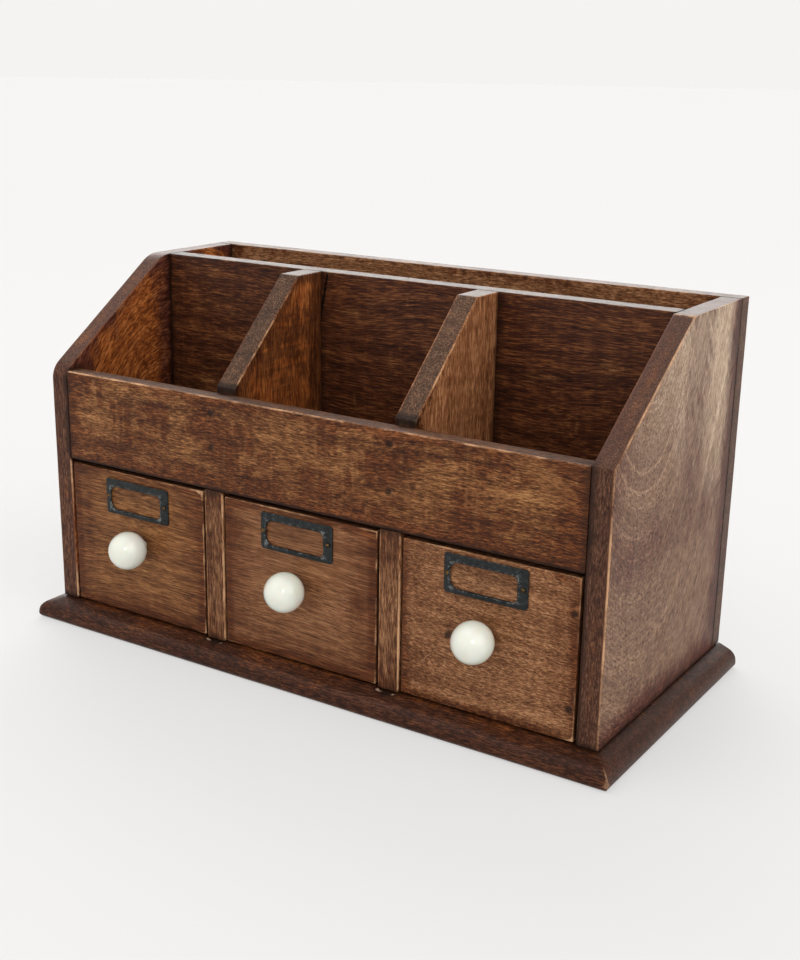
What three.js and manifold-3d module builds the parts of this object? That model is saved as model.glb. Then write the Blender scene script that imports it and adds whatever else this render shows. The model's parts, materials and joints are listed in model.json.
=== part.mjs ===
// Desk organizer: a small wooden cabinet with three drawers below, three open
// compartments above them and one letter slot across the back.
//
// Millimetres, +Z up. The origin is the middle of the base board's underside.
// +X runs to the viewer's right, and the drawers open towards -Y.

import * as THREE from 'three';
import { mergeVertices } from 'three/addons/utils/BufferGeometryUtils.js';
import Module from 'manifold-3d';

const wasm = await Module();
wasm.setup();

// ---------------------------------------------------------------- sizes

const GLUE_LINE = 0.2; // left between two boards that are glued together

// base board, with a moulding run round its front and both ends
const BASE_THICKNESS = 13;
const BASE_OVERHANG_FRONT = 11.5;
const BASE_OVERHANG_SIDE = 11;
const MOULDING_WIDTH = 11; // from where the flat top ends to the outermost edge
const SHOULDER_IN = 5.2; // the slope turns into the round nose this far inside the outermost edge
const SHOULDER_DROP = 2.3;
const NOSE_DROP = 9.8; // where the round nose reaches furthest out
const FOOT_IN = 1.2; // small chamfer at the underside
const FOOT_RISE = 1.8;

// cabinet
const BODY_WIDTH = 360;
const SIDE_THICKNESS = 12;
const SIDE_DEPTH = 152.5;
const SIDE_HEIGHT = 201;
const SIDE_FRONT_HEIGHT = 142.5; // the panel's front edge, below its slope
const SIDE_SLOPE_RUN = 86; // how far back the slope reaches
const BACK_THICKNESS = 11;

// drawer row
const OPENING_HEIGHT = 89.5;
const PARTITION_THICKNESS = 13;
const PARTITION_OFFSET = 58.5; // middle of each partition from the middle
const FLOOR_THICKNESS = 8;

// upper compartments
const FRONT_BOARD_THICKNESS = 10.5;
const DIVIDER_THICKNESS = 13;
const DIVIDER_SHIFT = 1.5; // both dividers stand a little right of the partitions
const DIVIDER_FRONT_HEIGHT = 146;
const DIVIDER_SLOPE_RUN = 58.5;
const LETTER_DIVIDER_FRONT = 91.4; // from the cabinet's front
const LETTER_DIVIDER_THICKNESS = 11.6;

// drawers
const DRAWER_SIDE_GAP = 1.1;
const DRAWER_TOP_GAP = 1.6;
const DRAWER_BOTTOM_GAP = 1.2;
const DRAWER_RECESS = 0.5; // the fronts sit this far behind the cabinet's face
const DRAWER_FRONT_THICKNESS = 10;
const DRAWER_LENGTH = 148;
const DRAWER_WALL = 7;
const DRAWER_WALL_HEIGHT = 76;
const DRAWER_FLOOR = 4;
const DRAWER_FLOOR_LIFT = 0.6; // clearance under a drawer's floor

// ball knobs
const KNOB_RADIUS = 11;
const KNOB_HEIGHT = 46.1; // middle of a knob, above the base board
const KNOB_STANDOFF = 12.5; // middle of a knob, in front of the drawer's face
const KNOB_COLLAR_RADIUS = 3.6;
const KNOB_BORE_RADIUS = 2.1;
const KNOB_BORE_DEPTH = 11;
const KNOB_SCREW_RADIUS = 1.8;
const KNOB_SCREW_HEAD_RADIUS = 4;
const KNOB_SCREW_HEAD = 2;

// label frames
const LABEL_WIDTH = 47.5;
const LABEL_HEIGHT = 21;
const LABEL_THICKNESS = 1.6;
const LABEL_CORNER = 1.6;
const LABEL_CENTRE_HEIGHT = 73.5; // above the base board
const WINDOW_WIDTH = 35;
const WINDOW_HEIGHT = 12.2;
const WINDOW_SHIFT = -1; // the window sits a little left of the middle
const WINDOW_CORNER = 3.6;
const CARD_WIDTH = 38;
const CARD_DEPTH = 0.6; // pocket behind the frame that a card drops into
const CARD_BOTTOM = 2.6; // solid strip below the pocket
const LABEL_PIN_INSET = 2.4;
const LABEL_PIN_RADIUS = 0.6;
const LABEL_PIN_HEAD_RADIUS = 1.2;
const LABEL_PIN_HEAD = 0.7;
const LABEL_PIN_LENGTH = 7;

// nails and screws
const NAIL_RADIUS = 0.8;
const NAIL_LENGTH = 24;
const NAIL_SET = 0.6; // how far a nail's head is punched below the wood
const HOLE_CLEARANCE = 0.25;
const BASE_SCREW_RADIUS = 1.8;
const BASE_SCREW_HEAD_RADIUS = 3.6;
const BASE_SCREW_HEAD = 2.6;
const BASE_SCREW_LENGTH = 34;
const BASE_SCREW_SET = 1.5;
const ROUND_STEPS = 12; // flats round a nail, pin or screw

// ---------------------------------------------------------------- places

const BACK_Y = (SIDE_DEPTH + GLUE_LINE + BACK_THICKNESS + BASE_OVERHANG_FRONT) / 2;
const BASE_FRONT_Y = -BACK_Y;
const FRONT_Y = BASE_FRONT_Y + BASE_OVERHANG_FRONT;
const SIDE_BACK_Y = FRONT_Y + SIDE_DEPTH;
const BACK_PANEL_Y = SIDE_BACK_Y + GLUE_LINE;
const DECK_Z = BASE_THICKNESS; // top of the base board
const TOP_Z = DECK_Z + SIDE_HEIGHT;
const BODY_HALF = BODY_WIDTH / 2;
const INNER_HALF = BODY_HALF - SIDE_THICKNESS;
const COMPARTMENT_FLOOR_Z = DECK_Z + OPENING_HEIGHT + FLOOR_THICKNESS;
const FRONT_BOARD_BACK_Y = FRONT_Y + FRONT_BOARD_THICKNESS;
const LETTER_DIVIDER_Y = FRONT_Y + LETTER_DIVIDER_FRONT;

const PARTITION_HALF = PARTITION_THICKNESS / 2;
const INNER_EDGE = PARTITION_OFFSET - PARTITION_HALF;
const OUTER_EDGE = PARTITION_OFFSET + PARTITION_HALF;
// The fittings were put on by eye: each knob and label frame is a little off the middle.
const DRAWER_BAYS = [
  { name: 'left', from: -INNER_HALF, to: -OUTER_EDGE, knobShift: 3, labelShift: 0.5, labelLift: -1.2 },
  { name: 'middle', from: -INNER_EDGE, to: INNER_EDGE, knobShift: -0.5, labelShift: -1.2, labelLift: 0.2 },
  { name: 'right', from: OUTER_EDGE, to: INNER_HALF, knobShift: -1, labelShift: -1.5, labelLift: 1.2 },
];

// ---------------------------------------------------------------- colours

const WOOD = { color: 0x6b432b, roughness: 0.5, metalness: 0 };
const DARK_WOOD = { color: 0x4a2d1e, roughness: 0.5, metalness: 0 };
const DRAWER_WOOD = { color: 0x7a4e33, roughness: 0.5, metalness: 0 };
const BOX_WOOD = { color: 0x94704c, roughness: 0.7, metalness: 0 };
const CERAMIC = { color: 0xefeadb, roughness: 0.15, metalness: 0 };
const BLACK_METAL = { color: 0x2f3638, roughness: 0.55, metalness: 0.8 };
const BRASS = { color: 0x8f7442, roughness: 0.45, metalness: 0.9 };
const STEEL = { color: 0x77736d, roughness: 0.4, metalness: 0.9 };

// ---------------------------------------------------------------- helpers

const organizer = new THREE.Group();

function add(name, geometry, look) {
  const mesh = new THREE.Mesh(geometry, new THREE.MeshStandardMaterial(look));
  mesh.name = name;
  organizer.add(mesh);
}

function solid(geometry) {
  const bare = geometry.clone();
  bare.deleteAttribute('normal');
  bare.deleteAttribute('uv');
  const merged = mergeVertices(bare);
  const vertProperties = merged.attributes.position.array;
  const triVerts = new Uint32Array(merged.index.array);
  return new wasm.Manifold(new wasm.Mesh({ numProp: 3, vertProperties, triVerts }));
}

function geometryOf(manifold) {
  const mesh = manifold.getMesh();
  const geometry = new THREE.BufferGeometry();
  geometry.setAttribute('position', new THREE.BufferAttribute(mesh.vertProperties, 3));
  geometry.setIndex(new THREE.BufferAttribute(mesh.triVerts, 1));
  geometry.computeVertexNormals();
  return geometry;
}

// the geometry with every cutter taken out of it
function cut(geometry, cutters) {
  let result = solid(geometry);
  for (const cutter of cutters) {
    result = result.subtract(solid(cutter));
  }
  return geometryOf(result);
}

function common(first, second) {
  return geometryOf(solid(first).intersect(solid(second)));
}

// a box between two corners
function board(x, y, z) {
  const geometry = new THREE.BoxGeometry(x[1] - x[0], y[1] - y[0], z[1] - z[0]);
  return geometry.translate((x[0] + x[1]) / 2, (y[0] + y[1]) / 2, (z[0] + z[1]) / 2);
}

// an outline drawn in (y, z), made solid from x[0] to x[1]
function alongX(shape, x, curveSegments = 8) {
  const depth = x[1] - x[0];
  const geometry = new THREE.ExtrudeGeometry(shape, { depth, bevelEnabled: false, curveSegments });
  const turn = new THREE.Matrix4().makeBasis(
    new THREE.Vector3(0, 1, 0),
    new THREE.Vector3(0, 0, 1),
    new THREE.Vector3(1, 0, 0),
  );
  return geometry.applyMatrix4(turn).translate(x[0], 0, 0);
}

// an outline drawn in (x, z), made solid from y[0] to y[1]
function alongY(shape, y, curveSegments = 8) {
  const depth = y[1] - y[0];
  const geometry = new THREE.ExtrudeGeometry(shape, { depth, bevelEnabled: false, curveSegments });
  const turn = new THREE.Matrix4().makeBasis(
    new THREE.Vector3(1, 0, 0),
    new THREE.Vector3(0, 0, 1),
    new THREE.Vector3(0, -1, 0),
  );
  return geometry.applyMatrix4(turn).translate(0, y[1], 0);
}

// a round bar along Y, for a hole or a shank
function rodY(radius, x, y, z) {
  const geometry = new THREE.CylinderGeometry(radius, radius, y[1] - y[0], ROUND_STEPS);
  return geometry.translate(x, (y[0] + y[1]) / 2, z);
}

// a round bar along Z
function rodZ(radius, x, y, z) {
  const geometry = new THREE.CylinderGeometry(radius, radius, z[1] - z[0], ROUND_STEPS);
  return geometry.rotateX(Math.PI / 2).translate(x, y, (z[0] + z[1]) / 2);
}

// a turned piece whose axis is Y; the profile is [radius, y] from the front to the back
function turned(profile, steps) {
  const points = profile.map(([radius, y]) => new THREE.Vector2(radius, y));
  return new THREE.LatheGeometry(points, steps);
}

function roundedRectangle(centreX, centreZ, width, height, radius, path = new THREE.Shape()) {
  const left = centreX - width / 2;
  const right = centreX + width / 2;
  const low = centreZ - height / 2;
  const high = centreZ + height / 2;
  path.moveTo(left + radius, low);
  path.lineTo(right - radius, low);
  path.absarc(right - radius, low + radius, radius, -Math.PI / 2, 0);
  path.lineTo(right, high - radius);
  path.absarc(right - radius, high - radius, radius, 0, Math.PI / 2);
  path.lineTo(left + radius, high);
  path.absarc(left + radius, high - radius, radius, Math.PI / 2, Math.PI);
  path.lineTo(left, low + radius);
  path.absarc(left + radius, low + radius, radius, Math.PI, Math.PI * 1.5);
  return path;
}

// ---------------------------------------------------------------- cabinet

// the moulded edge, from the flat top down to the underside, as [distance in, height]
function mouldingProfile() {
  const steepness = SHOULDER_DROP / (MOULDING_WIDTH - SHOULDER_IN);
  const nose = new THREE.QuadraticBezierCurve(
    new THREE.Vector2(SHOULDER_IN, BASE_THICKNESS - SHOULDER_DROP),
    new THREE.Vector2(0, BASE_THICKNESS - SHOULDER_DROP - SHOULDER_IN * steepness),
    new THREE.Vector2(0, BASE_THICKNESS - NOSE_DROP),
  );
  const round = nose.getPoints(6).map((point) => [point.x, point.y]);
  return [[MOULDING_WIDTH, BASE_THICKNESS], ...round, [0, FOOT_RISE], [FOOT_IN, 0]];
}

function baseBoard() {
  const edge = mouldingProfile();
  const halfWidth = BODY_HALF + BASE_OVERHANG_SIDE;
  const fromFront = new THREE.Shape([
    new THREE.Vector2(BACK_Y, 0),
    new THREE.Vector2(BACK_Y, BASE_THICKNESS),
    ...edge.map(([inward, z]) => new THREE.Vector2(BASE_FRONT_Y + inward, z)),
  ]);
  const fromEnds = new THREE.Shape([
    ...edge.map(([inward, z]) => new THREE.Vector2(-halfWidth + inward, z)),
    ...edge.toReversed().map(([inward, z]) => new THREE.Vector2(halfWidth - inward, z)),
  ]);
  const lengthways = alongX(fromFront, [-halfWidth - 1, halfWidth + 1]);
  const crossways = alongY(fromEnds, [BASE_FRONT_Y - 1, BACK_Y + 1]);
  return cut(common(lengthways, crossways), baseScrewPlaces().flatMap(({ x, y }) => screwHole(x, y)));
}

function baseScrewPlaces() {
  const x = BODY_HALF - SIDE_THICKNESS / 2;
  const y = (FRONT_Y + SIDE_BACK_Y) / 2;
  return [
    { name: 'left', x: -x, y },
    { name: 'right', x, y },
  ];
}

function screwHole(x, y) {
  const shank = rodZ(BASE_SCREW_RADIUS + HOLE_CLEARANCE, x, y, [-1, BASE_THICKNESS + 1]);
  const headTop = BASE_SCREW_SET + BASE_SCREW_HEAD + HOLE_CLEARANCE;
  const head = rodZ(BASE_SCREW_HEAD_RADIUS + HOLE_CLEARANCE, x, y, [-1, headTop]);
  return [shank, head];
}

function sidePanel(side) {
  const inner = side * INNER_HALF;
  const outer = side * BODY_HALF;
  const outline = new THREE.Shape([
    new THREE.Vector2(FRONT_Y, DECK_Z + GLUE_LINE),
    new THREE.Vector2(SIDE_BACK_Y, DECK_Z + GLUE_LINE),
    new THREE.Vector2(SIDE_BACK_Y, TOP_Z),
    new THREE.Vector2(FRONT_Y + SIDE_SLOPE_RUN, TOP_Z),
    new THREE.Vector2(FRONT_Y, DECK_Z + SIDE_FRONT_HEIGHT),
  ]);
  const panel = alongX(outline, [Math.min(inner, outer), Math.max(inner, outer)]);
  const screwTop = BASE_SCREW_SET + BASE_SCREW_LENGTH + HOLE_CLEARANCE;
  const holes = baseScrewPlaces()
    .filter(({ x }) => Math.sign(x) === side)
    .map(({ x, y }) => rodZ(BASE_SCREW_RADIUS + HOLE_CLEARANCE, x, y, [0, screwTop]));
  return cut(panel, holes);
}

const BETWEEN_SIDES = [-INNER_HALF + GLUE_LINE, INNER_HALF - GLUE_LINE];
const OPENING_TOP_Z = DECK_Z + OPENING_HEIGHT;

const DIVIDERS = [
  { name: 'left', x: -PARTITION_OFFSET + DIVIDER_SHIFT, nailHeights: [114, 133] },
  { name: 'right', x: PARTITION_OFFSET + DIVIDER_SHIFT, nailHeights: [110, 134.5] },
];
const DIVIDER_NAIL_SHIFT = -3; // the nails miss the middle of each divider

// a nail driven back along +Y through one board into the next
function nailHole(x, faceY, z) {
  const end = faceY + NAIL_SET + NAIL_LENGTH + HOLE_CLEARANCE;
  return rodY(NAIL_RADIUS + HOLE_CLEARANCE, x, [faceY - 1, end], z);
}

function nail(x, faceY, z) {
  const head = faceY + NAIL_SET;
  const tip = head + NAIL_LENGTH;
  const profile = [
    [0, head],
    [NAIL_RADIUS, head],
    [NAIL_RADIUS, tip - 2 * NAIL_RADIUS],
    [0, tip],
  ];
  return turned(profile, ROUND_STEPS).translate(x, 0, z);
}

function dividerNailHoles() {
  return DIVIDERS.flatMap(({ x, nailHeights }) =>
    nailHeights.map((height) => nailHole(x + DIVIDER_NAIL_SHIFT, FRONT_Y, DECK_Z + height)),
  );
}

function frontBoard() {
  const z = [OPENING_TOP_Z, DECK_Z + SIDE_FRONT_HEIGHT];
  return cut(board(BETWEEN_SIDES, [FRONT_Y, FRONT_BOARD_BACK_Y], z), dividerNailHoles());
}

function compartmentDivider(x) {
  const front = FRONT_BOARD_BACK_Y + GLUE_LINE;
  const back = LETTER_DIVIDER_Y - GLUE_LINE;
  const bottom = COMPARTMENT_FLOOR_Z + GLUE_LINE;
  const outline = new THREE.Shape([
    new THREE.Vector2(front, bottom),
    new THREE.Vector2(back, bottom),
    new THREE.Vector2(back, TOP_Z),
    new THREE.Vector2(front + DIVIDER_SLOPE_RUN, TOP_Z),
    new THREE.Vector2(front, DECK_Z + DIVIDER_FRONT_HEIGHT),
  ]);
  const half = DIVIDER_THICKNESS / 2;
  return cut(alongX(outline, [x - half, x + half]), dividerNailHoles());
}

add('base_board', baseBoard(), DARK_WOOD);
add('side_panel_left', sidePanel(-1), WOOD);
add('side_panel_right', sidePanel(1), WOOD);
add('back_panel', board([-BODY_HALF, BODY_HALF], [BACK_PANEL_Y, BACK_Y], [DECK_Z + GLUE_LINE, TOP_Z]), WOOD);
add('front_board', frontBoard(), WOOD);

const floorY = [FRONT_BOARD_BACK_Y + GLUE_LINE, SIDE_BACK_Y];
add('compartment_floor', board(BETWEEN_SIDES, floorY, [OPENING_TOP_Z, COMPARTMENT_FLOOR_Z]), DARK_WOOD);

const letterDividerY = [LETTER_DIVIDER_Y, LETTER_DIVIDER_Y + LETTER_DIVIDER_THICKNESS];
add('letter_divider', board(BETWEEN_SIDES, letterDividerY, [COMPARTMENT_FLOOR_Z + GLUE_LINE, TOP_Z]), WOOD);

for (const side of [-1, 1]) {
  const name = side < 0 ? 'drawer_partition_left' : 'drawer_partition_right';
  const middle = side * PARTITION_OFFSET;
  const x = [middle - PARTITION_HALF, middle + PARTITION_HALF];
  const z = [DECK_Z + GLUE_LINE, OPENING_TOP_Z - GLUE_LINE];
  add(name, board(x, [FRONT_Y, SIDE_BACK_Y], z), WOOD);
}

for (const { name, x, nailHeights } of DIVIDERS) {
  add(`compartment_divider_${name}`, compartmentDivider(x), WOOD);
  nailHeights.forEach((height, index) => {
    const label = index === 0 ? 'lower' : 'upper';
    const geometry = nail(x + DIVIDER_NAIL_SHIFT, FRONT_Y, DECK_Z + height);
    add(`front_board_nail_${name}_${label}`, geometry, STEEL);
  });
}

for (const { name, x, y } of baseScrewPlaces()) {
  const headTop = BASE_SCREW_SET + BASE_SCREW_HEAD;
  const tip = BASE_SCREW_SET + BASE_SCREW_LENGTH;
  const profile = [
    [0, BASE_SCREW_SET],
    [BASE_SCREW_HEAD_RADIUS, BASE_SCREW_SET],
    [BASE_SCREW_RADIUS, headTop],
    [BASE_SCREW_RADIUS, tip - 3 * BASE_SCREW_RADIUS],
    [0, tip],
  ];
  add(`base_screw_${name}`, turned(profile, ROUND_STEPS).rotateX(Math.PI / 2).translate(x, y, 0), STEEL);
}

// ---------------------------------------------------------------- drawers

const DRAWER_FACE_Y = FRONT_Y + DRAWER_RECESS;
const DRAWER_INNER_FACE_Y = DRAWER_FACE_Y + DRAWER_FRONT_THICKNESS;
const DRAWER_BACK_Y = DRAWER_FACE_Y + DRAWER_LENGTH;
const DRAWER_FRONT_Z = [DECK_Z + DRAWER_BOTTOM_GAP, OPENING_TOP_Z - DRAWER_TOP_GAP];
const DRAWER_FLOOR_Z = [DECK_Z + DRAWER_FLOOR_LIFT, DECK_Z + DRAWER_FLOOR_LIFT + DRAWER_FLOOR];
const DRAWER_WALL_Z = [DRAWER_FLOOR_Z[1] + GLUE_LINE, DRAWER_FLOOR_Z[1] + DRAWER_WALL_HEIGHT];
const KNOB_Z = DECK_Z + KNOB_HEIGHT;
const LABEL_BACK_Y = DRAWER_FACE_Y - GLUE_LINE / 2;
const DRAWER_NAIL_HEIGHTS = [18, 68]; // above the base board

function labelPinPlaces(label) {
  const reach = LABEL_WIDTH / 2 - LABEL_PIN_INSET;
  return [
    { name: 'left', x: label.x - reach, z: label.z },
    { name: 'right', x: label.x + reach, z: label.z },
  ];
}

function labelFrame(label) {
  const outline = roundedRectangle(label.x, label.z, LABEL_WIDTH, LABEL_HEIGHT, LABEL_CORNER);
  const windowX = label.x + WINDOW_SHIFT;
  const hole = new THREE.Path();
  roundedRectangle(windowX, label.z, WINDOW_WIDTH, WINDOW_HEIGHT, WINDOW_CORNER, hole);
  outline.holes.push(hole);
  const plate = alongY(outline, [LABEL_BACK_Y - LABEL_THICKNESS, LABEL_BACK_Y], 4);
  const pocket = board(
    [windowX - CARD_WIDTH / 2, windowX + CARD_WIDTH / 2],
    [LABEL_BACK_Y - CARD_DEPTH, LABEL_BACK_Y + 1],
    [label.z - LABEL_HEIGHT / 2 + CARD_BOTTOM, label.z + LABEL_HEIGHT],
  );
  const pinHoles = labelPinPlaces(label).map(({ x, z }) => labelPinHole(x, z));
  return cut(plate, [pocket, ...pinHoles]);
}

function labelPinHole(x, z) {
  const front = LABEL_BACK_Y - LABEL_THICKNESS;
  return rodY(LABEL_PIN_RADIUS + HOLE_CLEARANCE, x, [front - 1, front + LABEL_PIN_LENGTH + 1], z);
}

function labelPin(x, z) {
  const seat = LABEL_BACK_Y - LABEL_THICKNESS - GLUE_LINE / 2;
  const profile = [
    [0, seat - LABEL_PIN_HEAD],
    [LABEL_PIN_HEAD_RADIUS * 0.7, seat - LABEL_PIN_HEAD * 0.75],
    [LABEL_PIN_HEAD_RADIUS, seat],
    [LABEL_PIN_RADIUS, seat],
    [LABEL_PIN_RADIUS, seat + LABEL_PIN_LENGTH - 2 * LABEL_PIN_RADIUS],
    [0, seat + LABEL_PIN_LENGTH],
  ];
  return turned(profile, ROUND_STEPS).translate(x, 0, z);
}

// a ball on a short collar, bored from the back for its screw
function knob(x) {
  const back = DRAWER_FACE_Y - GLUE_LINE / 2;
  const middle = DRAWER_FACE_Y - KNOB_STANDOFF;
  const collarAngle = Math.PI - Math.asin(KNOB_COLLAR_RADIUS / KNOB_RADIUS);
  const steps = 14;
  const ball = Array.from({ length: steps + 1 }, (_, index) => {
    const angle = (collarAngle * index) / steps;
    return [KNOB_RADIUS * Math.sin(angle), middle - KNOB_RADIUS * Math.cos(angle)];
  });
  const boreEnd = back - KNOB_BORE_DEPTH;
  const profile = [
    ...ball,
    [KNOB_COLLAR_RADIUS, back],
    [KNOB_BORE_RADIUS, back],
    [KNOB_BORE_RADIUS, boreEnd],
    [0, boreEnd],
  ];
  profile[0][0] = 0;
  return turned(profile, 28).translate(x, 0, KNOB_Z);
}

// the screw goes in from inside the drawer, through the front, into the knob
function knobScrew(x) {
  const seat = DRAWER_INNER_FACE_Y + GLUE_LINE / 2;
  const tip = DRAWER_FACE_Y - KNOB_BORE_DEPTH + 1;
  const profile = [
    [0, tip],
    [KNOB_SCREW_RADIUS, tip + KNOB_SCREW_RADIUS],
    [KNOB_SCREW_RADIUS, seat],
    [KNOB_SCREW_HEAD_RADIUS, seat],
    [KNOB_SCREW_HEAD_RADIUS * 0.8, seat + KNOB_SCREW_HEAD * 0.7],
    [0, seat + KNOB_SCREW_HEAD],
  ];
  return turned(profile, ROUND_STEPS).translate(x, 0, KNOB_Z);
}

function drawerNailPlaces(left, right) {
  const inset = DRAWER_WALL / 2 + GLUE_LINE;
  return DRAWER_NAIL_HEIGHTS.flatMap((height, index) => {
    const level = index === 0 ? 'lower' : 'upper';
    return [
      { name: `left_${level}`, x: left + inset, z: DECK_Z + height },
      { name: `right_${level}`, x: right - inset, z: DECK_Z + height },
    ];
  });
}

for (const bay of DRAWER_BAYS) {
  const left = bay.from + DRAWER_SIDE_GAP;
  const right = bay.to - DRAWER_SIDE_GAP;
  const centre = (left + right) / 2;
  const knobX = centre + bay.knobShift;
  const label = { x: centre + bay.labelShift, z: DECK_Z + LABEL_CENTRE_HEIGHT + bay.labelLift };
  const prefix = `drawer_${bay.name}`;
  const nails = drawerNailPlaces(left, right);
  const nailHoles = nails.map(({ x, z }) => nailHole(x, DRAWER_FACE_Y, z));
  const throughFront = [DRAWER_FACE_Y - 1, DRAWER_INNER_FACE_Y + 1];
  const knobHole = rodY(KNOB_SCREW_RADIUS + HOLE_CLEARANCE, knobX, throughFront, KNOB_Z);
  const pinHoles = labelPinPlaces(label).map(({ x, z }) => labelPinHole(x, z));
  const face = board([left, right], [DRAWER_FACE_Y, DRAWER_INNER_FACE_Y], DRAWER_FRONT_Z);
  add(`${prefix}_front`, cut(face, [knobHole, ...pinHoles, ...nailHoles]), DRAWER_WOOD);

  const behindFront = DRAWER_INNER_FACE_Y + GLUE_LINE;
  const wallY = [behindFront, DRAWER_BACK_Y];
  const leftWall = board([left, left + DRAWER_WALL], wallY, DRAWER_WALL_Z);
  const rightWall = board([right - DRAWER_WALL, right], wallY, DRAWER_WALL_Z);
  add(`${prefix}_side_left`, cut(leftWall, nailHoles), BOX_WOOD);
  add(`${prefix}_side_right`, cut(rightWall, nailHoles), BOX_WOOD);

  const betweenWalls = [left + DRAWER_WALL + GLUE_LINE, right - DRAWER_WALL - GLUE_LINE];
  const backY = [DRAWER_BACK_Y - DRAWER_WALL, DRAWER_BACK_Y];
  add(`${prefix}_back`, board(betweenWalls, backY, DRAWER_WALL_Z), BOX_WOOD);
  add(`${prefix}_bottom`, board([left, right], wallY, DRAWER_FLOOR_Z), BOX_WOOD);

  add(`${prefix}_knob`, knob(knobX), CERAMIC);
  add(`${prefix}_knob_screw`, knobScrew(knobX), STEEL);
  add(`${prefix}_label_frame`, labelFrame(label), BLACK_METAL);
  for (const { name, x, z } of labelPinPlaces(label)) {
    add(`${prefix}_label_pin_${name}`, labelPin(x, z), BRASS);
  }
  for (const { name, x, z } of nails) {
    add(`${prefix}_nail_${name}`, nail(x, DRAWER_FACE_Y, z), STEEL);
  }
}

export default organizer;
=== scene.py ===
"""A wooden desk organizer: three drawers with ball knobs and label frames, three open
compartments above them, and a letter slot along the back. Lengths are in metres, in the CAD frame."""

import json
import math

import bmesh
import bpy
from mathutils import Matrix, Vector, geometry, noise


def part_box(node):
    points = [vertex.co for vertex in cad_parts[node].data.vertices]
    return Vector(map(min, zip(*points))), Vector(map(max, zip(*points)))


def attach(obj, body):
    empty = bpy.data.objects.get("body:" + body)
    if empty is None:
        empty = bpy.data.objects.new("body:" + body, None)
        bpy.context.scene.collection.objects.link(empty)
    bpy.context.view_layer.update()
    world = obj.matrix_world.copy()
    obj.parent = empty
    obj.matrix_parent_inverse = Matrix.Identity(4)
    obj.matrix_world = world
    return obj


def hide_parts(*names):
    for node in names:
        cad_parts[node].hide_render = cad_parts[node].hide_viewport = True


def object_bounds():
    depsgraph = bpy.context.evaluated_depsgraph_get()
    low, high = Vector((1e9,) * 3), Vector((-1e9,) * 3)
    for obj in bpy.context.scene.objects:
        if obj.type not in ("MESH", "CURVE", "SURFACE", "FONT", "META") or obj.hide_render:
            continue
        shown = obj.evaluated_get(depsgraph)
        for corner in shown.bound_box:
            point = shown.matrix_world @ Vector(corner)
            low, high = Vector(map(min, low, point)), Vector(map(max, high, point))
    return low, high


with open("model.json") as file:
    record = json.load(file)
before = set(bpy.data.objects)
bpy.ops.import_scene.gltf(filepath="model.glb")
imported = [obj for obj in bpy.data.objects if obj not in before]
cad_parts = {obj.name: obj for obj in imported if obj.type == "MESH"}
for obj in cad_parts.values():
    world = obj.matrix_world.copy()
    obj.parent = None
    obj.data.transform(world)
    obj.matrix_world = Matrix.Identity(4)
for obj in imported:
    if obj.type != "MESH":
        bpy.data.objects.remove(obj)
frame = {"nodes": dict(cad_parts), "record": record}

MM = 0.001

# ------------------------------------------------------------------ places from the CAD

cad_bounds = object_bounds()
BODIES = frame["record"]["behaviour"]["bodies"]
BAYS = ("left", "middle", "right")
FITTINGS = ("nail", "pin", "screw", "knob", "label")


def centre_of(node):
    low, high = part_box(node)
    return (low + high) / 2


def corner(node, x, y, z):
    """A point of the node's box: 0 is its low side and 1 its high side along each axis."""
    low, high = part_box(node)
    return Vector([a + (b - a) * part for a, b, part in zip(low, high, (x, y, z))])


def slope_of(node, x):
    """The lower and upper end of a side panel's or divider's sloping edge, at 0..1 across its thickness."""
    low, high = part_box(node)
    across = low.x + (high.x - low.x) * x
    points = [vert.co for vert in frame["nodes"][node].data.vertices]
    front = max(point.z for point in points if point.y < low.y + 1e-5)
    top = min(point.y for point in points if point.z > high.z - 1e-5)
    return Vector((across, low.y, front)), Vector((across, top, high.z))


def boards_of(body):
    return [node for node in BODIES[body] if not any(word in node for word in FITTINGS)]


# ------------------------------------------------------------------ node helper


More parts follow.
